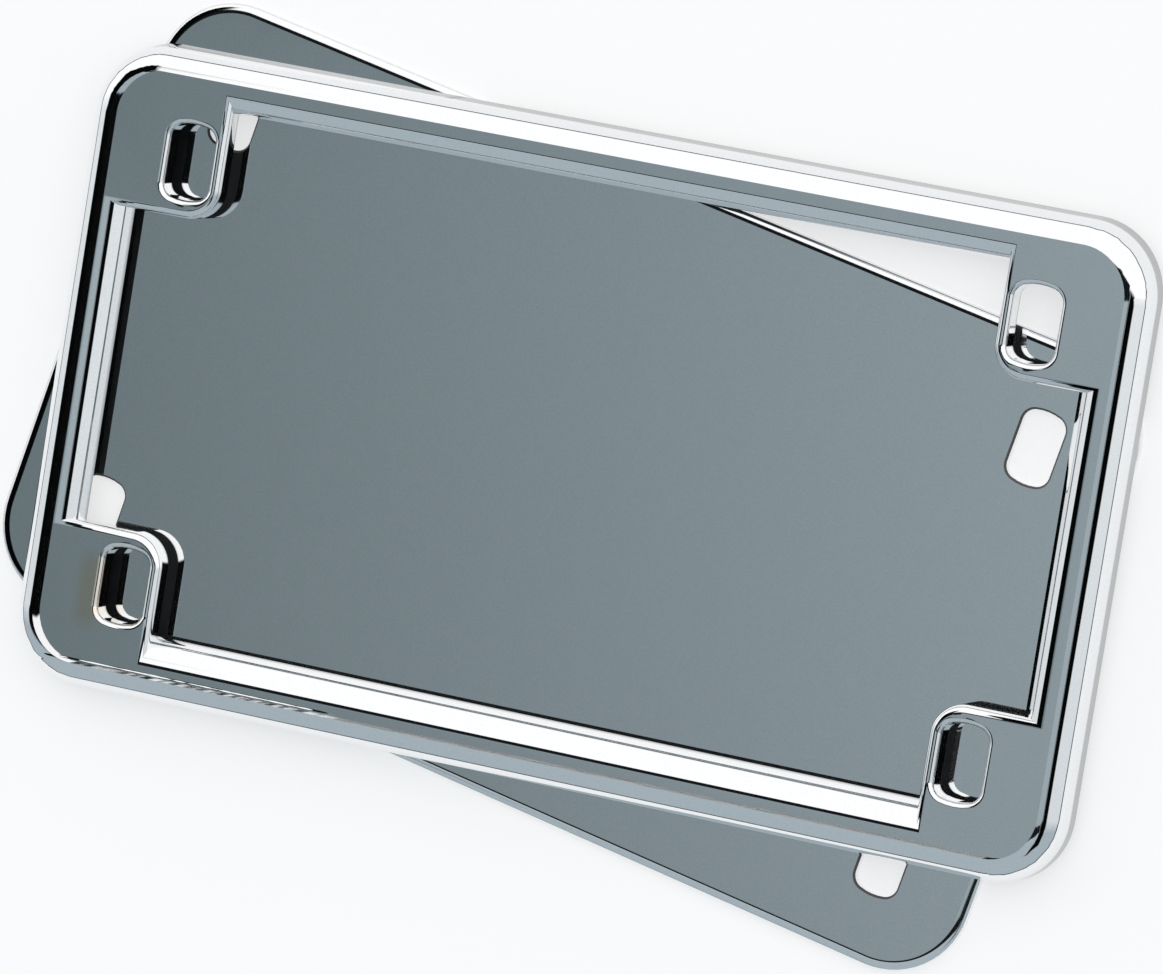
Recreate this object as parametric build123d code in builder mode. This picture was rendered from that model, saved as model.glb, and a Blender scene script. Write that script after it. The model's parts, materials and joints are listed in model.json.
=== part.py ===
from build123d import *
import os

# A chrome number plate holder for a motorcycle: a front frame laid at an angle on its back plate.
# The frame is a hollow casting. Its outer edge is one wide roll, from a crest down to a flared
# skirt, and inside the crest lies a flat recessed face. The window's edges roll down to a lip,
# and a tab fills each corner of the window, with a screw slot through it. The back plate is
# flat sheet with four slots to match.
# X runs along the frame and Y across it, with the frame's upper side at +Y. The origin is on the
# back plate's underside, straight below the centre of the frame's four slots. All in millimetres.

# Screw slots
slot_pitch_x = 146.05
slot_pitch_y = 69.85
frame_slot_width = 8.0
frame_slot_length = 12.4
plate_slot_width = 7.4
plate_slot_length = 12.0
slot_end_bow = 0.9
slot_corner = 2.2

# Number plate that the frame's underside takes
number_plate_length = 177.8
number_plate_height = 101.6
number_plate_corner = 9.0
number_plate_play = 0.3

# Back plate
back_plate_length = 178.4
back_plate_height = 104.0
back_plate_thickness = 1.6
back_plate_corner = 13.5
back_plate_edge_round = 0.7
back_plate_burr_bevel = 0.2
plate_slot_bevel = 0.35

# Where the back plate lies under the frame
back_plate_turn = -11.2
back_plate_shift_x = -3.5
back_plate_shift_y = -4.6

# Frame, seen from the front
face_length = 175.0
face_height = 97.5
face_corner = 8.0
rim_width = 3.9
skirt_flare = 0.1
upper_skirt_flare = 0.5
side_strip = 2.4
upper_strip = 1.85
narrow_rail_roll = 3.1
wide_rail_roll = 4.9

# Frame, through its thickness
frame_depth = 5.6
rim_rise = 1.4
rim_roll = 4.2
rim_drop = 0.4
seat_depth = 1.3
skin = 1.7

# Corner tabs, which reach this far past their slots
tab_margin_x = 2.0
tab_margin_y = 2.9
tab_corner = 5.4
tab_edge_round = 1.3
slot_edge_round = 0.9
slot_draft = 1.0
collar_wall = 1.6

# Levels above the ground
frame_base = back_plate_thickness
lip_level = frame_base + seat_depth
face_level = frame_base + frame_depth
crest_level = face_level + rim_rise
skirt_level = crest_level - rim_roll - rim_drop
ceiling_level = face_level - skin

# Outlines that follow from those sizes
rim_length = face_length + 2 * rim_width
rim_height = face_height + 2 * rim_width
rim_corner = face_corner + rim_width
skirt_length = rim_length + 2 * skirt_flare
skirt_height = rim_height + skirt_flare + upper_skirt_flare
skirt_corner = rim_corner + skirt_flare
skirt_centre_y = (upper_skirt_flare - skirt_flare) / 2
window_length = face_length - 2 * side_strip
window_height = face_height - 2 * upper_strip
opening_length = window_length - narrow_rail_roll - wide_rail_roll
opening_height = window_height - narrow_rail_roll - wide_rail_roll
opening_shift = (wide_rail_roll - narrow_rail_roll) / 2
hollow_roll = narrow_rail_roll - skin
seat_length = number_plate_length + 2 * number_plate_play
seat_height = number_plate_height + 2 * number_plate_play
seat_corner = number_plate_corner + number_plate_play
hollow_length = face_length + 2 * (rim_width - skin)
hollow_height = face_height + 2 * (rim_width - skin)
hollow_corner = rim_corner - skin

# Corner tabs, from their free edges to the recess's sides
tab_edge_x = (slot_pitch_x - frame_slot_width) / 2 - tab_margin_x
tab_edge_y = (slot_pitch_y - frame_slot_length) / 2 - tab_margin_y
tab_reach_x = face_length / 2
tab_reach_y = face_height / 2


def slot_outline(width, length):
    """A punched slot, upright in Y: straight sides, rounded corners and gently bowed ends."""
    side = length / 2 - slot_end_bow
    with BuildSketch() as outline:
        with BuildLine():
            left = Line((-width / 2, -side), (-width / 2, side))
            top = ThreePointArc(left @ 1, (0, length / 2), (width / 2, side))
            right = Line(top @ 1, (width / 2, -side))
            ThreePointArc(right @ 1, (0, -length / 2), left @ 0)
        make_face()
        fillet(outline.vertices(), radius=slot_corner)
    return outline.sketch


def corner_blocks(near_x, near_y, far_x, far_y, corner):
    """Four rectangles, one in each corner of the frame, rounded where they face the window."""
    with BuildSketch() as blocks:
        with GridLocations(near_x + far_x, near_y + far_y, 2, 2):
            Rectangle(far_x - near_x, far_y - near_y)
        inner = blocks.vertices().group_by(lambda v: round(abs(v.X) + abs(v.Y), 3))[0]
        fillet(inner, radius=corner)
    return blocks.sketch


frame_slot = slot_outline(frame_slot_width, frame_slot_length)
plate_slot = slot_outline(plate_slot_width, plate_slot_length)
tab_outline = corner_blocks(tab_edge_x, tab_edge_y, tab_reach_x, tab_reach_y, tab_corner)

# Tabs, rounded along their top edges before they join the frame
with BuildPart() as tabs:
    with BuildSketch(Plane.XY.offset(lip_level)):
        add(tab_outline)
    extrude(amount=face_level - lip_level)
    fillet(tabs.faces().group_by(Axis.Z)[-1].edges(), radius=tab_edge_round)

# Hollow underside: a channel behind the rim and rails, a pocket in each tab, a collar per slot
with BuildPart() as hollow:
    with BuildSketch(Plane.XY.offset(lip_level)):
        RectangleRounded(hollow_length, hollow_height, hollow_corner)
        with Locations((-opening_shift, opening_shift)):
            Rectangle(opening_length + 2 * skin, opening_height + 2 * skin, mode=Mode.SUBTRACT)
    extrude(amount=ceiling_level - lip_level)
    inner_edges = hollow.faces().sort_by(Axis.Z)[-1].inner_wires()[0].edges()
    fillet(inner_edges, radius=hollow_roll)
    with BuildSketch(Plane.XY.offset(lip_level)):
        add(
            corner_blocks(
                tab_edge_x + skin, tab_edge_y + skin, tab_reach_x, tab_reach_y, tab_corner - skin
            )
        )
    extrude(amount=ceiling_level - lip_level)
    with BuildSketch(Plane.XY.offset(lip_level)):
        with GridLocations(slot_pitch_x, slot_pitch_y, 2, 2):
            add(offset(frame_slot, amount=collar_wall, mode=Mode.PRIVATE))
    extrude(amount=ceiling_level - lip_level, mode=Mode.SUBTRACT)

with BuildPart() as front_frame:
    # Flared skirt, then the rim, rolled over from its crest down to the skirt
    with BuildSketch(Plane.XY.offset(frame_base)):
        with Locations((0, skirt_centre_y)):
            RectangleRounded(skirt_length, skirt_height, skirt_corner)
    with BuildSketch(Plane.XY.offset(skirt_level)):
        RectangleRounded(rim_length, rim_height, rim_corner)
    loft()
    with BuildSketch(Plane.XY.offset(skirt_level)):
        RectangleRounded(rim_length, rim_height, rim_corner)
    extrude(amount=crest_level - skirt_level)
    fillet(front_frame.faces().sort_by(Axis.Z)[-1].edges(), radius=rim_roll)

    # Recessed face inside the rim
    with BuildSketch(Plane.XY.offset(face_level)):
        RectangleRounded(face_length, face_height, face_corner)
    extrude(amount=rim_rise, mode=Mode.SUBTRACT)

    # Window, with each rail's edge rolled over towards it, the right and lower rails more widely
    with BuildSketch(Plane.XY.offset(frame_base)):
        with Locations((-opening_shift, opening_shift)):
            Rectangle(opening_length, opening_height)
    extrude(amount=frame_depth, mode=Mode.SUBTRACT)
    for side, roll in ((-1, narrow_rail_roll), (1, wide_rail_roll)):
        window_edge = window_length / 2
        with BuildSketch(Plane.XZ):
            with Locations((side * (window_edge - roll / 2), face_level - roll / 2)):
                Rectangle(roll, roll)
            with Locations((side * window_edge, face_level - roll)):
                Circle(roll, mode=Mode.SUBTRACT)
        extrude(amount=tab_edge_y + tab_corner, both=True, mode=Mode.SUBTRACT)
    for side, roll in ((1, narrow_rail_roll), (-1, wide_rail_roll)):
        window_edge = window_height / 2
        with BuildSketch(Plane.YZ):
            with Locations((side * (window_edge - roll / 2), face_level - roll / 2)):
                Rectangle(roll, roll)
            with Locations((side * window_edge, face_level - roll)):
                Circle(roll, mode=Mode.SUBTRACT)
        extrude(amount=tab_edge_x + tab_corner, both=True, mode=Mode.SUBTRACT)

    # Tabs, their slots and the underside
    add(tabs.part)
    with BuildSketch(Plane.XY.offset(face_level)):
        with GridLocations(slot_pitch_x, slot_pitch_y, 2, 2):
            add(frame_slot)
    extrude(amount=-frame_depth, taper=slot_draft, mode=Mode.SUBTRACT)
    fillet(front_frame.edges(Select.LAST).group_by(Axis.Z)[-1], radius=slot_edge_round)
    with BuildSketch(Plane.XY.offset(frame_base)):
        RectangleRounded(seat_length, seat_height, seat_corner)
    extrude(amount=seat_depth, mode=Mode.SUBTRACT)
    add(hollow.part, mode=Mode.SUBTRACT)

with BuildPart() as back_plate:
    turned = Plane(
        origin=(back_plate_shift_x, back_plate_shift_y, 0),
        x_dir=Vector(1, 0, 0).rotate(Axis.Z, back_plate_turn),
        z_dir=(0, 0, 1),
    )
    with BuildSketch(turned):
        RectangleRounded(back_plate_length, back_plate_height, back_plate_corner)
    extrude(amount=back_plate_thickness)
    fillet(back_plate.faces().sort_by(Axis.Z)[-1].edges(), radius=back_plate_edge_round)
    chamfer(back_plate.faces().sort_by(Axis.Z)[0].edges(), length=back_plate_burr_bevel)
    with BuildSketch(turned):
        with GridLocations(slot_pitch_x, slot_pitch_y, 2, 2):
            add(plate_slot)
    extrude(amount=back_plate_thickness, mode=Mode.SUBTRACT)
    chamfer(back_plate.edges(Select.LAST).group_by(Axis.Z)[-1], length=plate_slot_bevel)

front_frame.part.label = "front_frame"
back_plate.part.label = "back_plate"
os.makedirs("parts", exist_ok=True)
export_step(front_frame.part, "parts/front_frame.step")
export_step(back_plate.part, "parts/back_plate.step")
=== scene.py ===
"""Number plate holder: a cast and chromed frame lying on its chromed back plate.

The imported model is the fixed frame. Each piece here stands for one CAD node and lies where it lies.
"""
import json
import math

import bpy
from bpy.props import FloatProperty, FloatVectorProperty, PointerProperty
from mathutils import Matrix, Vector

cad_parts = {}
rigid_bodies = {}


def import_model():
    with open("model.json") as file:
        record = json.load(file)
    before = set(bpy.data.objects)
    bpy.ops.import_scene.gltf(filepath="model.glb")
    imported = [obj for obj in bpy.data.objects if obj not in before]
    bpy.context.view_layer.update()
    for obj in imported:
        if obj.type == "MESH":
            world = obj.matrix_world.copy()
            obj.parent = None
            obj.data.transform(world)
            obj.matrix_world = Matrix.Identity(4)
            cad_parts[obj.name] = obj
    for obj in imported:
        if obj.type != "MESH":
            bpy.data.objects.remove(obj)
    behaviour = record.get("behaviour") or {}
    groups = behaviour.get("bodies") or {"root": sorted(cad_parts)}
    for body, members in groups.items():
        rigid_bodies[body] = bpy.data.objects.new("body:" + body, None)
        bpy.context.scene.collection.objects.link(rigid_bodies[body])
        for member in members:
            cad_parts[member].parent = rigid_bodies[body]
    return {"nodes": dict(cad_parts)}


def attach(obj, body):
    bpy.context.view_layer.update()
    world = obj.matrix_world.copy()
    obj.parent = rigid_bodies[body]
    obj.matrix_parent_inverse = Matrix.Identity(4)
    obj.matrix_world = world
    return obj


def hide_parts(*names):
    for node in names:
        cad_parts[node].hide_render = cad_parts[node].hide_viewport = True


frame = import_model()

bl_info = {
    "name": "Number plate holder",
    "version": (1, 0, 0),
    "blender": (4, 5, 0),
    "location": "3D View > Sidebar > Plate holder",
    "description": "Dresses a chrome number plate holder and sets its studio",
    "category": "Object",
}

MM = 0.001

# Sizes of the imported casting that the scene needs, in millimetres
LIP_LEVEL = 2.9
SEAT_HALF_X = 89.0
SEAT_HALF_Y = 50.9
FACE_LEVEL = 7.2

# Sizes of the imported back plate, in millimetres, and its turn under the frame, in degrees
PLATE_SHIFT = (-3.5, -4.6)
PLATE_TURN = -11.2
PLATE_HALF = (89.2, 52.0)
PLATE_CORNER = 13.5
SLOT_HALF_PITCH = (73.025, 34.925)

# Vertices closer than this are one, and faces thinner than this are none, in millimetres
MERGE_DISTANCE = 0.002
SLIVER_WIDTH = 0.003

# Faces that meet at up to this angle, in degrees, are shaded as one round
SMOOTH_ANGLE = 32

# Flat faces from this area up, in square millimetres, keep their own normals, and faces whose planes lie
# within this step of each other, in millimetres, are one
FLAT_AREA = 12
FLAT_STEP = 0.02

# Depth below the face that the rails' rolls take up, with the trimmed lip, in millimetres
RAIL_ROLL_DEPTH = 3.75

# The trimmed lip starts at this depth below the face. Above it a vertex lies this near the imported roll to
# be on it, and below it this near. In millimetres
LIP_DEPTH = 3.55
NEAR_ROLL = 0.05
NEAR_LIP = 0.6

# Rolls of the rails towards the window: axis across the rail, its side, half the rail's length, where the
# packed roll starts and its radius, then where the real one starts, its radius and the tilt at which it
# runs on straight. In millimetres and degrees
RAIL_ROLLS = (
    ("x", -1, 31.3, 85.1, 3.1, 86.9, 4.0, 64.0),
    ("x", 1, 31.3, 85.1, 4.9, 85.55, 3.9, 58.0),
    ("y", -1, 72.5, 46.9, 4.9, 47.2, 5.25, 75.0),
)

# Marks on the casting, in millimetres: centre, half width and soft edge, along X and along Y, and the length
# of one polishing mark
POLISHING_MARKS = ((-60, 22, 6), (-48.6, 0.2, 0.4))
MARK_LENGTH = 7
# Painted warm reflection beside the lower left slot, in the same form
WARM_REFLECTION_PATCH = ((-78.6, 0.6, 2.6), (-36.5, 3.5, 4.0))

# Area round each of the back plate's slots, from its centre, in the same form
SLOT_AREA = ((0, 5, 0.1), (0, 7.5, 0.1))

# Upward share of a bevel's normal at the slots, and how far it may be off, and the share of a normal below
# which a face counts as underside
BEVEL_FACING = (0.7, 0.16)
UNDERSIDE_FACING = -0.3

# Waviness that polishing leaves in the plating, in millimetres
WAVE_LENGTH = 5
WAVE_HEIGHT = 0.004

# Painted shade low on the casting's walls: the chrome darkens to this share between these levels, in
# millimetres
LOW_WALL_SHADE_SHARE = 0.55
LOW_WALL_SHADE_LEVELS = (3.6, 4.3)

# Band inside the back plate's outline in which the sheet falls away, in millimetres
FALL_START = 1.7
FALL_END = 0.4

# Studio cards by direction, each as its reach in x/z and in y/z and the softness of its low and high ends
BLACK_FLAG = ((-1.28, -0.49), (-0.46, 0.50), (0.05, 0.03))
BLACK_ROUND_CAMERA = ((0.25, 0.66), (-0.75, 0.08), (0.03, 0.04))
CARD_RIM = ((-0.53, 0.24), (-0.285, 0.15), (0.01, 0.01))
GREY_CARD = ((-0.495, 0.21), (-0.185, -0.055), (0.004, 0.004))

# Where the studio's tones change, each from its first to its last share of the direction, or slope
WALL_TONES = (0.10, -0.32)
WALL_FOOT = (0.11, 0.04)
CARD_TONES_ACROSS = (-0.455, -0.24)
CARD_TONES_UP = (-0.17, -0.07)

# Light that the floor adds to its own in the picture and in mirrored rays
FLOOR_LIFT = 0.66

# Camera, in degrees and millimetres
CAMERA_AZIMUTH = 106.3844
CAMERA_ELEVATION = 68.3713
CAMERA_ROLL = -96.0957
CAMERA_DISTANCE = 1432.336
CAMERA_TARGET = (0.9075, -4.7289, 1.6)
CAMERA_LENS = 277.65


def linear(hex_colour):
    """sRGB hex, such as 8a9196, as linear RGBA."""
    channels = [int(hex_colour[i : i + 2], 16) / 255 for i in (0, 2, 4)]
    return tuple(c / 12.92 if c <= 0.04045 else ((c + 0.055) / 1.055) ** 2.4 for c in channels) + (1.0,)


def add_node(tree, kind, settings=None, links=None):
    """Adds one node. A link's value is another node's output socket, or a plain value for that input."""
    node = tree.nodes.new(kind)
    for name, value in (settings or {}).items():
        setattr(node, name, value)
    for key, value in (links or {}).items():
        if isinstance(value, bpy.types.NodeSocket):
            tree.links.new(value, node.inputs[key])
        else:
            node.inputs[key].default_value = value
    return node


class PlateHolderChrome(bpy.types.PropertyGroup):
    colour: FloatVectorProperty(
        name="Chrome colour", description="Colour that the plating gives what it mirrors",
        subtype="COLOR", size=3, min=0, max=1, default=linear("f4f5f6")[:3],
    )
    casting_roughness: FloatProperty(
        name="Casting roughness", description="Blur of the plated casting", default=0.045, min=0, max=1,
        subtype="FACTOR",
    )
    sheet_roughness: FloatProperty(
        name="Sheet roughness", description="Blur of the plated sheet", default=0.05, min=0, max=1,
        subtype="FACTOR",
    )
    lip_trim: FloatProperty(
        name="Lip trim", description="How much higher the casting's inner lip ends", default=0.7 * MM,
        unit="LENGTH", precision=5,
    )
    unevenness: FloatProperty(
        name="Unevenness", description="Height of the polishing marks on the crest", default=0.1 * MM,
        unit="LENGTH", precision=5,
    )
    edge_fall: FloatProperty(
        name="Edge fall", description="How far the sheet rolls down towards its outline", default=0.16 * MM,
        unit="LENGTH", precision=5,
    )
    grain: FloatProperty(
        name="Grain", description="Size of the finest grain in the plating", default=0.25 * MM,
        unit="LENGTH", precision=6,
    )


class PlateHolderStudio(bpy.types.PropertyGroup):
    floor_width: FloatProperty(
        name="Floor width", description="Width of the square studio floor", default=24.0, unit="LENGTH",
    )
    floor_colour: FloatVectorProperty(
        name="Floor colour", description="Colour of the studio floor", subtype="COLOR", size=3,
        min=0, max=1, default=linear("b4b5b6")[:3],
    )


def deselect():
    """Leaves nothing selected, the loaded nodes among them."""
    for other in bpy.context.view_layer.objects:
        other.select_set(False)


def copy_of_node(name, node):
    """A copy of a CAD node with its loose triangles merged."""
    deselect()
    source = frame["nodes"][node]
    source.select_set(True)
    bpy.context.view_layer.objects.active = source
    bpy.ops.object.duplicate(linked=False)
    piece = bpy.context.active_object
    piece.name = name
    piece.data.name = name
    for key in list(piece.keys()):
        if key.startswith("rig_"):
            del piece[key]
    piece.parent = None
    bpy.ops.object.mode_set(mode="EDIT")
    bpy.ops.mesh.select_all(action="SELECT")
    bpy.ops.mesh.customdata_custom_splitnormals_clear()
    bpy.ops.mesh.remove_doubles(threshold=MERGE_DISTANCE * MM)
    bpy.ops.object.mode_set(mode="OBJECT")
    return piece


def lift_lip(piece, settings):
    """Trims the lip round the window and tabs, which the real casting ends a little higher."""
    bpy.ops.object.mode_set(mode="EDIT")
    bpy.ops.mesh.select_mode(type="VERT")
    bpy.ops.mesh.select_all(action="DESELECT")
    bpy.ops.object.mode_set(mode="OBJECT")
    level = LIP_LEVEL * MM + settings.lip_trim
    for vertex in piece.data.vertices:
        x, y, z = vertex.co
        inside = abs(x) < SEAT_HALF_X * MM and abs(y) < SEAT_HALF_Y * MM
        vertex.select = inside and (LIP_LEVEL - 0.1) * MM < z < level
    bpy.ops.object.mode_set(mode="EDIT")
    bpy.ops.transform.resize(value=(1, 1, 0), center_override=(0, 0, level))
    bpy.ops.object.mode_set(mode="OBJECT")


def ease_rails(piece):
    """Gives the rails' rolls the real profile: a round, then a straight slope down to the lip."""
    for axis, side, reach, start, roll, new_start, new_roll, last_tilt in RAIL_ROLLS:
        last = math.radians(last_tilt)
        for vertex in piece.data.vertices:
            across = side * getattr(vertex.co, axis) / MM
            along = abs(getattr(vertex.co, "y" if axis == "x" else "x")) / MM
            drop = FACE_LEVEL - vertex.co.z / MM
            off = abs(math.hypot(start - across, roll - drop) - roll)
            # The trimmed lip lies off the roll, so it is found more loosely than the roll above it
            near = NEAR_ROLL if drop < LIP_DEPTH else NEAR_LIP
            in_depth = -0.01 < drop < RAIL_ROLL_DEPTH
            if not (in_depth and along <= reach and across < start + 0.02 and off < near):
                continue
            tilt = math.acos(max(1 - drop / new_roll, math.cos(last)))
            rest = drop - new_roll * (1 - math.cos(tilt))
            inward = new_roll * math.sin(tilt) + rest / math.tan(last)
            setattr(vertex.co, axis, side * (new_start - inward) * MM)
    bpy.ops.object.mode_set(mode="EDIT")
    bpy.ops.mesh.select_all(action="SELECT")
    bpy.ops.mesh.remove_doubles(threshold=MERGE_DISTANCE * MM)
    bpy.ops.mesh.dissolve_degenerate(threshold=SLIVER_WIDTH * MM)
    bpy.ops.object.mode_set(mode="OBJECT")


def smooth_rounds(piece):
    """Smooth shading over the rounds, with the flat faces' own normals kept along their edges."""
    bpy.ops.object.shade_smooth_by_angle(angle=math.radians(SMOOTH_ANGLE))
    mesh = piece.data
    flat_area = {}
    for face in mesh.polygons:
        level = round(face.normal.dot(face.center) / (FLAT_STEP * MM))
        key = (*(round(c, 3) for c in face.normal), level)
        flat_area.setdefault(key, []).append(face.index)
    flat = set()
    for members in flat_area.values():
        if sum(mesh.polygons[i].area for i in members) > FLAT_AREA * MM * MM:
            flat.update(members)
    bpy.ops.object.mode_set(mode="EDIT")
    bpy.ops.mesh.select_mode(type="FACE")
    bpy.ops.mesh.select_all(action="SELECT")
    bpy.ops.mesh.mod_weighted_strength(set=True, face_strength="WEAK")
    bpy.ops.mesh.select_all(action="DESELECT")
    bpy.ops.object.mode_set(mode="OBJECT")
    for face in mesh.polygons:
        face.select = face.index in flat
    bpy.ops.object.mode_set(mode="EDIT")
    bpy.ops.mesh.mod_weighted_strength(set=True, face_strength="STRONG")
    bpy.ops.object.mode_set(mode="OBJECT")
    weighted = piece.modifiers.new("Flat faces stay flat", "WEIGHTED_NORMAL")
    weighted.use_face_influence = True
    weighted.keep_sharp = True
    weighted.weight = 50
    bpy.ops.object.modifier_apply(modifier=weighted.name)


def band(tree, value, centre, half, soft):
    """1 within half of the centre and falling to 0 over soft, all in millimetres."""
    off = add_node(tree, "ShaderNodeMath", {"operation": "SUBTRACT"}, {0: value, 1: centre * MM})
    off = add_node(tree, "ShaderNodeMath", {"operation": "ABSOLUTE"}, {0: off.outputs[0]})
    return add_node(
        tree, "ShaderNodeMapRange", {"interpolation_type": "SMOOTHSTEP"},
        {"Value": off.outputs[0], "From Min": (half + soft) * MM, "From Max": half * MM},
    ).outputs["Result"]


def patch(tree, at, across, along):
    """1 on one patch of a piece, from its band along X and its band along Y."""
    return add_node(
        tree, "ShaderNodeMath", {"operation": "MULTIPLY"},
        {0: band(tree, at.outputs["X"], *across), 1: band(tree, at.outputs["Y"], *along)},
    ).outputs[0]


def bright_chrome(tree, place, settings, roughness, tone, height, tint=None):
    """Polished chrome plating: a bright, slightly blue mirror of the studio, with a soft waviness.

    The real grain is far too fine to show, so it is drawn coarser, as a faint mottling.
    """
    grain = add_node(
        tree, "ShaderNodeTexNoise", {"noise_dimensions": "3D"},
        {"Vector": place, "Scale": 1 / settings.grain, "Detail": 1.0, "Roughness": 0.5},
    )
    speck = add_node(
        tree, "ShaderNodeMapRange", None,
        {"Value": grain.outputs["Fac"], "From Min": 0.2, "From Max": 0.8, "To Min": 0.93, "To Max": 1.03},
    ).outputs["Result"]
    bright = add_node(tree, "ShaderNodeMath", {"operation": "MULTIPLY"}, {0: speck, 1: tone})
    colour = add_node(
        tree, "ShaderNodeVectorMath", {"operation": "SCALE"},
        {0: tuple(settings.colour), "Scale": bright.outputs[0]},
    ).outputs["Vector"]
    if tint:
        colour = add_node(
            tree, "ShaderNodeMix", {"data_type": "RGBA", "blend_type": "MULTIPLY"},
            {0: tint[0], 6: colour, 7: tint[1]},
        ).outputs[2]
    wave = add_node(
        tree, "ShaderNodeTexNoise", {"noise_dimensions": "3D"},
        {"Vector": place, "Scale": 1 / (WAVE_LENGTH * MM), "Detail": 1.0, "Roughness": 0.4},
    )
    swell = add_node(
        tree, "ShaderNodeMath", {"operation": "MULTIPLY_ADD"},
        {0: wave.outputs["Fac"], 1: WAVE_HEIGHT, 2: height},
    )
    bump = add_node(
        tree, "ShaderNodeBump", None, {"Strength": 1.0, "Distance": MM, "Height": swell.outputs[0]}
    )
    return add_node(
        tree, "ShaderNodeBsdfPrincipled", None,
        {
            "Base Color": colour, "Metallic": 1.0, "Roughness": roughness,
            "Normal": bump.outputs["Normal"],
        },
    ).outputs["BSDF"]


def cast_chrome(settings):
    """Chrome plated zinc die casting: bright outside, with painted shade low on its walls and a dark, matt
    underside that is partly painted shade.
    """
    material = bpy.data.materials.new("chrome plated zinc die casting")
    material.use_nodes = True
    tree = material.node_tree
    tree.nodes.clear()
    coordinates = add_node(tree, "ShaderNodeTexCoord")
    place = coordinates.outputs["Object"]
    at = add_node(tree, "ShaderNodeSeparateXYZ", None, {0: place})
    # Painted shade: the chrome is darker low on the walls, standing in for the shaded floor close by that
    # they mirror
    low_wall_shade = add_node(
        tree, "ShaderNodeMapRange", {"interpolation_type": "SMOOTHSTEP"},
        {
            "Value": at.outputs["Z"], "From Min": LOW_WALL_SHADE_LEVELS[0] * MM, "From Max": LOW_WALL_SHADE_LEVELS[1] * MM,
            "To Min": LOW_WALL_SHADE_SHARE, "To Max": 1.0,
        },
    ).outputs["Result"]

    # Polishing left the foot of the lower crest a little uneven
    ripple = add_node(
        tree, "ShaderNodeTexNoise", {"noise_dimensions": "1D"},
        {"W": at.outputs["X"], "Scale": 1 / (MARK_LENGTH * MM), "Detail": 2.0, "Roughness": 0.7},
    ).outputs["Fac"]
    foot = patch(tree, at, *POLISHING_MARKS)
    foot = add_node(tree, "ShaderNodeMath", {"operation": "MULTIPLY"}, {0: foot, 1: ripple})
    height = add_node(
        tree, "ShaderNodeMath", {"operation": "MULTIPLY"},
        {0: foot.outputs[0], 1: settings.unevenness / MM},
    ).outputs[0]

    # Faint warm tint beside the lower left slot: a painted warm reflection on the chrome
    warm_reflection = patch(tree, at, *WARM_REFLECTION_PATCH)
    chrome = bright_chrome(
        tree, place, settings, settings.casting_roughness, low_wall_shade, height, (warm_reflection, linear("fff0dd"))
    )

    # Faces that look down are matt and dark: partly zinc that the chrome hardly reaches, partly painted
    # shade that draws the dark gap under the lip
    down = add_node(tree, "ShaderNodeSeparateXYZ", None, {0: coordinates.outputs["Normal"]})
    under = add_node(
        tree, "ShaderNodeMath", {"operation": "LESS_THAN"}, {0: down.outputs["Z"], 1: UNDERSIDE_FACING}
    ).outputs[0]
    unplated_and_shaded_underside = add_node(
        tree, "ShaderNodeBsdfPrincipled", None,
        {"Base Color": linear("24272a"), "Metallic": 0.0, "Roughness": 0.7},
    ).outputs["BSDF"]
    both = add_node(tree, "ShaderNodeMixShader", None, {0: under, 1: chrome, 2: unplated_and_shaded_underside})
    add_node(tree, "ShaderNodeOutputMaterial", None, {"Surface": both.outputs["Shader"]})
    return material


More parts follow.
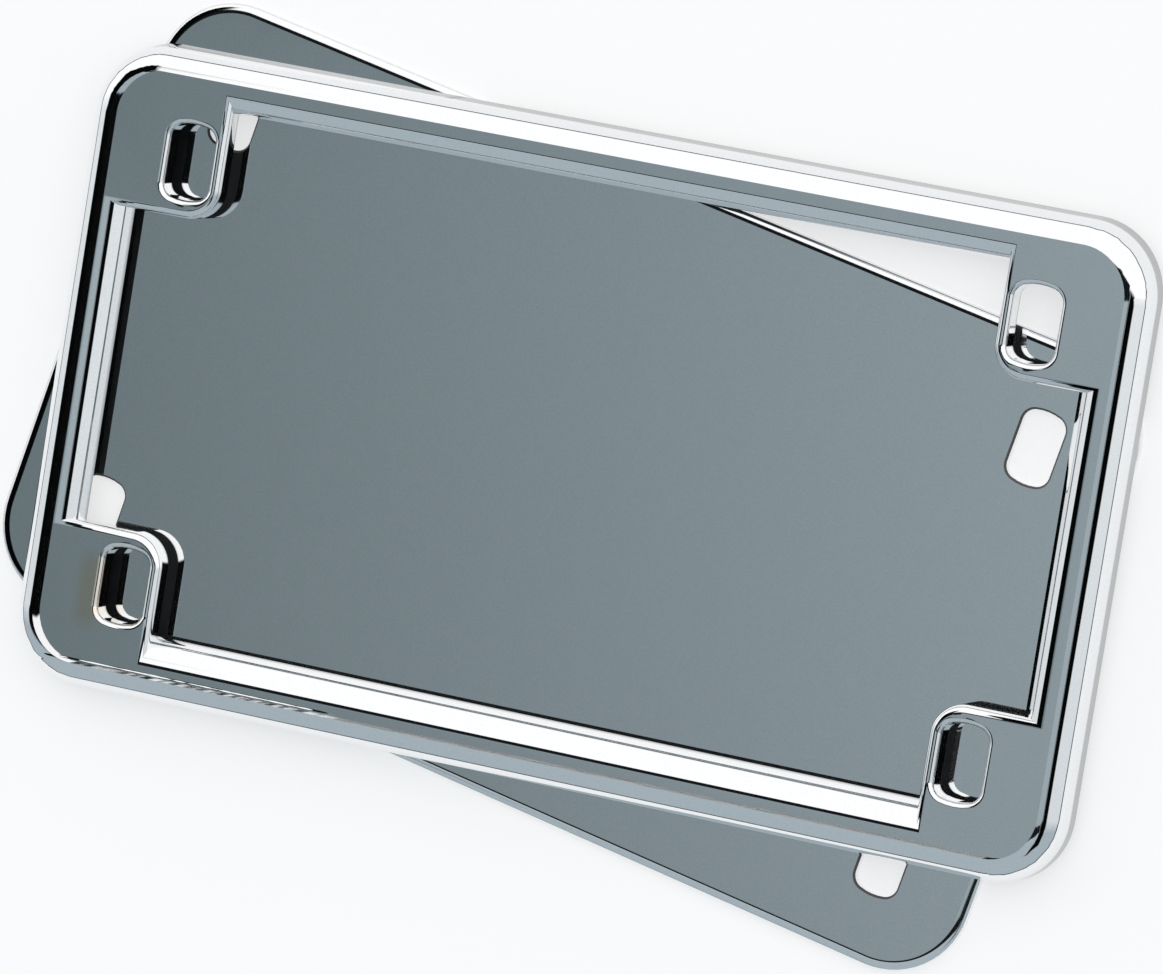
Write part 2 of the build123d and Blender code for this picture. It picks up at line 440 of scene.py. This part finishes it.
def sheet_chrome(settings):
    """Chrome plated steel sheet: bright, falling away at its outline, with a dark line painted on the bevels
    of its slots.
    """
    material = bpy.data.materials.new("chrome plated steel sheet")
    material.use_nodes = True
    tree = material.node_tree
    tree.nodes.clear()
    coordinates = add_node(tree, "ShaderNodeTexCoord")
    place = coordinates.outputs["Object"]
    turned = add_node(
        tree, "ShaderNodeMapping", {"vector_type": "TEXTURE"},
        {
            "Vector": place, "Location": (PLATE_SHIFT[0] * MM, PLATE_SHIFT[1] * MM, 0),
            "Rotation": (0, 0, math.radians(PLATE_TURN)),
        },
    ).outputs["Vector"]
    folded = add_node(
        tree, "ShaderNodeVectorMath", {"operation": "ABSOLUTE"}, {0: turned}
    ).outputs["Vector"]

    # Reach from the centres of the corners, which is the corner radius all along the outline
    straight = [(half - PLATE_CORNER) * MM for half in PLATE_HALF]
    past = add_node(
        tree, "ShaderNodeVectorMath", {"operation": "SUBTRACT"}, {0: folded, 1: (*straight, 1.0)}
    ).outputs["Vector"]
    past = add_node(
        tree, "ShaderNodeVectorMath", {"operation": "MAXIMUM"}, {0: past, 1: (0, 0, 0)}
    ).outputs["Vector"]
    reach = add_node(tree, "ShaderNodeVectorMath", {"operation": "LENGTH"}, {0: past}).outputs["Value"]
    near = add_node(
        tree, "ShaderNodeMapRange", None,
        {
            "Value": reach, "From Min": (PLATE_CORNER - FALL_START) * MM,
            "From Max": (PLATE_CORNER - FALL_END) * MM,
        },
    ).outputs["Result"]
    near = add_node(tree, "ShaderNodeMath", {"operation": "POWER"}, {0: near, 1: 2.0})
    fall = add_node(
        tree, "ShaderNodeMath", {"operation": "MULTIPLY"},
        {0: near.outputs[0], 1: -settings.edge_fall / MM},
    ).outputs[0]
    chrome = bright_chrome(tree, place, settings, settings.sheet_roughness, 1.0, fall)

    # The sharp bevels of the punched slots are painted a matt dark grey in place of their reflection, which
    # reads as a dark line
    off = add_node(
        tree, "ShaderNodeVectorMath", {"operation": "SUBTRACT"},
        {0: folded, 1: (SLOT_HALF_PITCH[0] * MM, SLOT_HALF_PITCH[1] * MM, 0)},
    ).outputs["Vector"]
    off = add_node(
        tree, "ShaderNodeSeparateXYZ", None,
        {0: add_node(tree, "ShaderNodeVectorMath", {"operation": "ABSOLUTE"}, {0: off}).outputs["Vector"]},
    )
    slot = patch(tree, off, *SLOT_AREA)
    facing = add_node(tree, "ShaderNodeSeparateXYZ", None, {0: coordinates.outputs["Normal"]})
    bevel = add_node(
        tree, "ShaderNodeMath", {"operation": "COMPARE"},
        {0: facing.outputs["Z"], 1: BEVEL_FACING[0], 2: BEVEL_FACING[1]},
    )
    edge = add_node(
        tree, "ShaderNodeMath", {"operation": "MULTIPLY"}, {0: slot, 1: bevel.outputs[0]}
    ).outputs[0]
    # Matt dark grey, the painted dark line on the bevels
    steel = add_node(
        tree, "ShaderNodeBsdfPrincipled", None,
        {"Base Color": linear("5f5c5a"), "Metallic": 0.0, "Roughness": 0.6},
    ).outputs["BSDF"]
    both = add_node(tree, "ShaderNodeMixShader", None, {0: edge, 1: chrome, 2: steel})
    add_node(tree, "ShaderNodeOutputMaterial", None, {"Surface": both.outputs["Shader"]})
    return material


class PlateHolderFrontFrame(bpy.types.Operator):
    """The cast front frame, with its rounds smoothed and its plating"""

    bl_idname = "plate_holder.front_frame"
    bl_label = "Front frame"

    def execute(self, context):
        settings = context.scene.plate_holder_chrome
        piece = copy_of_node("front_frame_casting", "front_frame")
        lift_lip(piece, settings)
        ease_rails(piece)
        smooth_rounds(piece)
        piece.data.materials.clear()
        piece.data.materials.append(cast_chrome(settings))
        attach(piece, "root")
        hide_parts("front_frame")
        return {"FINISHED"}


class PlateHolderBackPlate(bpy.types.Operator):
    """The punched back plate, with its plating"""

    bl_idname = "plate_holder.back_plate"
    bl_label = "Back plate"

    def execute(self, context):
        settings = context.scene.plate_holder_chrome
        piece = copy_of_node("back_plate_sheet", "back_plate")
        smooth_rounds(piece)
        piece.data.materials.clear()
        piece.data.materials.append(sheet_chrome(settings))
        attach(piece, "root")
        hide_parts("back_plate")
        return {"FINISHED"}


def studio_card(tree, under, direction, colour, across, up, soft):
    """Lays one card of the studio over what is under it. All its numbers are slopes, x/z and y/z."""
    def edge(value, low, high):
        rise = add_node(
            tree, "ShaderNodeMapRange", {"interpolation_type": "SMOOTHSTEP"},
            {"Value": value, "From Min": low - soft[0], "From Max": low + soft[0]},
        )
        fall = add_node(
            tree, "ShaderNodeMapRange", {"interpolation_type": "SMOOTHSTEP"},
            {"Value": value, "From Min": high + soft[1], "From Max": high - soft[1]},
        )
        return add_node(
            tree, "ShaderNodeMath", {"operation": "MULTIPLY"},
            {0: rise.outputs["Result"], 1: fall.outputs["Result"]},
        ).outputs[0]

    both = add_node(
        tree, "ShaderNodeMath", {"operation": "MULTIPLY"},
        {0: edge(direction[0], *across), 1: edge(direction[1], *up)},
    )
    return add_node(
        tree, "ShaderNodeMix", {"data_type": "RGBA"},
        {0: both.outputs[0], 6: under, 7: colour},
    ).outputs[2]


def studio_world(context):
    """A white studio with a grey card overhead and dark flags beside it, laid out by direction."""
    world = bpy.data.worlds.new("plain studio")
    context.scene.world = world
    world.use_nodes = True
    tree = world.node_tree
    tree.nodes.clear()
    direction = add_node(tree, "ShaderNodeTexCoord").outputs["Generated"]
    parts = add_node(tree, "ShaderNodeSeparateXYZ", None, {0: direction})
    height = add_node(
        tree, "ShaderNodeMath", {"operation": "MAXIMUM"}, {0: parts.outputs["Z"], 1: 0.02}
    ).outputs[0]
    slope_x = add_node(
        tree, "ShaderNodeMath", {"operation": "DIVIDE"}, {0: parts.outputs["X"], 1: height}
    ).outputs[0]
    slope_y = add_node(
        tree, "ShaderNodeMath", {"operation": "DIVIDE"}, {0: parts.outputs["Y"], 1: height}
    ).outputs[0]
    slopes = (slope_x, slope_y)

    # White walls towards +Y, light grey to the sides, blue-grey towards -Y
    lower = add_node(
        tree, "ShaderNodeMapRange", None,
        {"Value": parts.outputs["Y"], "From Min": WALL_TONES[0], "From Max": WALL_TONES[1]},
    ).outputs["Result"]
    sky = add_node(
        tree, "ShaderNodeMix", {"data_type": "RGBA"},
        {0: lower, 6: (1.12, 1.12, 1.12, 1.0), 7: linear("aab7be")},
    ).outputs[2]

    # Black flag on the left and black round the camera
    black = linear("050606")
    sky = studio_card(tree, sky, slopes, black, *BLACK_FLAG)
    sky = studio_card(tree, sky, slopes, black, *BLACK_ROUND_CAMERA)

    # Grey card overhead with a dark rim, which the flat faces mirror at the photograph's angle, and which is
    # lighter towards +X
    sky = studio_card(tree, sky, slopes, linear("14171a"), *CARD_RIM)
    across = add_node(
        tree, "ShaderNodeMapRange", None,
        {"Value": slope_x, "From Min": CARD_TONES_ACROSS[0], "From Max": CARD_TONES_ACROSS[1]},
    ).outputs["Result"]
    card = add_node(
        tree, "ShaderNodeMix", {"data_type": "RGBA"},
        {0: across, 6: linear("6d7a7e"), 7: linear("a4b1b7")},
    ).outputs[2]
    fall = add_node(
        tree, "ShaderNodeMapRange", None,
        {
            "Value": slope_y, "From Min": CARD_TONES_UP[0], "From Max": CARD_TONES_UP[1],
            "To Min": 0.92, "To Max": 1.02,
        },
    ).outputs["Result"]
    card = add_node(
        tree, "ShaderNodeVectorMath", {"operation": "SCALE"}, {0: card, "Scale": fall}
    ).outputs["Vector"]
    sky = studio_card(tree, sky, slopes, card, *GREY_CARD)

    # Dark foot of the walls along the horizon
    foot = add_node(
        tree, "ShaderNodeMapRange", {"interpolation_type": "SMOOTHSTEP"},
        {"Value": parts.outputs["Z"], "From Min": WALL_FOOT[0], "From Max": WALL_FOOT[1]},
    ).outputs["Result"]
    sky = add_node(
        tree, "ShaderNodeMix", {"data_type": "RGBA"}, {0: foot, 6: sky, 7: linear("43484b")}
    ).outputs[2]

    background = add_node(tree, "ShaderNodeBackground", None, {"Color": sky, "Strength": 1.0})
    add_node(tree, "ShaderNodeOutputWorld", None, {"Surface": background.outputs[0]})


def studio_floor(context, settings):
    """Plain pale floor that keeps the shadow, and reads white in the picture and in the chrome."""
    deselect()
    bpy.ops.mesh.primitive_plane_add(size=settings.floor_width, location=(0, 0, 0))
    floor = context.active_object
    floor.name = "studio_floor"
    bpy.ops.object.transform_apply(location=True, rotation=True, scale=True)
    material = bpy.data.materials.new("matt white studio floor")
    material.use_nodes = True
    tree = material.node_tree
    tree.nodes.clear()
    diffuse = add_node(
        tree, "ShaderNodeBsdfDiffuse", None, {"Color": tuple(settings.floor_colour) + (1.0,)}
    )
    light_path = add_node(tree, "ShaderNodeLightPath")
    seen = add_node(
        tree, "ShaderNodeMath", {"operation": "ADD"},
        {0: light_path.outputs["Is Camera Ray"], 1: light_path.outputs["Is Glossy Ray"]},
    )
    seen = add_node(
        tree, "ShaderNodeMath", {"operation": "ADD", "use_clamp": True},
        {0: seen.outputs[0], 1: light_path.outputs["Is Transmission Ray"]},
    )
    lift = add_node(
        tree, "ShaderNodeMath", {"operation": "MULTIPLY"}, {0: seen.outputs[0], 1: FLOOR_LIFT}
    )
    glow = add_node(
        tree, "ShaderNodeEmission", None, {"Color": (1, 1, 1, 1), "Strength": lift.outputs[0]}
    )
    both = add_node(
        tree, "ShaderNodeAddShader", None, {0: diffuse.outputs[0], 1: glow.outputs[0]}
    )
    add_node(tree, "ShaderNodeOutputMaterial", None, {"Surface": both.outputs[0]})
    floor.data.materials.append(material)


def studio_camera(context):
    """Camera at the photograph's viewing angle, fitted to the frame's corners, rails and slots."""
    azimuth = math.radians(CAMERA_AZIMUTH)
    elevation = math.radians(CAMERA_ELEVATION)
    roll = math.radians(CAMERA_ROLL)
    distance, target = CAMERA_DISTANCE * MM, Vector(CAMERA_TARGET) * MM
    flat = math.cos(elevation)
    back = Vector((math.sin(azimuth) * flat, -math.cos(azimuth) * flat, math.sin(elevation)))
    level = Vector((0, 0, 1)).cross(back).normalized()
    over = back.cross(level)
    right = math.cos(roll) * level + math.sin(roll) * over
    up = -math.sin(roll) * level + math.cos(roll) * over
    camera = bpy.data.objects.new("camera", bpy.data.cameras.new("camera"))
    context.scene.collection.objects.link(camera)
    camera.data.sensor_fit = "HORIZONTAL"
    camera.data.sensor_width = 36.0
    camera.data.lens = CAMERA_LENS
    camera.data.clip_start, camera.data.clip_end = 0.05, 40.0
    camera.matrix_world = Matrix.Translation(target + distance * back) @ Matrix(
        (right, up, back)
    ).transposed().to_4x4()
    context.scene.camera = camera


class PlateHolderStage(bpy.types.Operator):
    """Floor, studio light and camera"""

    bl_idname = "plate_holder.stage"
    bl_label = "Stage"

    def execute(self, context):
        settings = context.scene.plate_holder_studio
        studio_world(context)
        studio_floor(context, settings)
        studio_camera(context)
        context.scene.view_settings.view_transform = "Standard"
        return {"FINISHED"}


class PlateHolderPanel(bpy.types.Panel):
    bl_idname = "VIEW3D_PT_plate_holder"
    bl_label = "Number plate holder"
    bl_space_type = "VIEW_3D"
    bl_region_type = "UI"
    bl_category = "Plate holder"

    def draw(self, context):
        layout = self.layout
        for group in (context.scene.plate_holder_chrome, context.scene.plate_holder_studio):
            for name in group.__annotations__:
                layout.prop(group, name)
        for operator in (PlateHolderFrontFrame, PlateHolderBackPlate, PlateHolderStage):
            layout.operator(operator.bl_idname)


CLASSES = (
    PlateHolderChrome,
    PlateHolderStudio,
    PlateHolderFrontFrame,
    PlateHolderBackPlate,
    PlateHolderStage,
    PlateHolderPanel,
)


def register():
    for cls in CLASSES:
        bpy.utils.register_class(cls)
    bpy.types.Scene.plate_holder_chrome = PointerProperty(type=PlateHolderChrome)
    bpy.types.Scene.plate_holder_studio = PointerProperty(type=PlateHolderStudio)


def unregister():
    del bpy.types.Scene.plate_holder_studio
    del bpy.types.Scene.plate_holder_chrome
    for cls in reversed(CLASSES):
        bpy.utils.unregister_class(cls)


def main():
    register()
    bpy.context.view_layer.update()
    bpy.ops.plate_holder.front_frame()
    bpy.ops.plate_holder.back_plate()
    bpy.ops.plate_holder.stage()


if __name__ == "__main__":
    main()
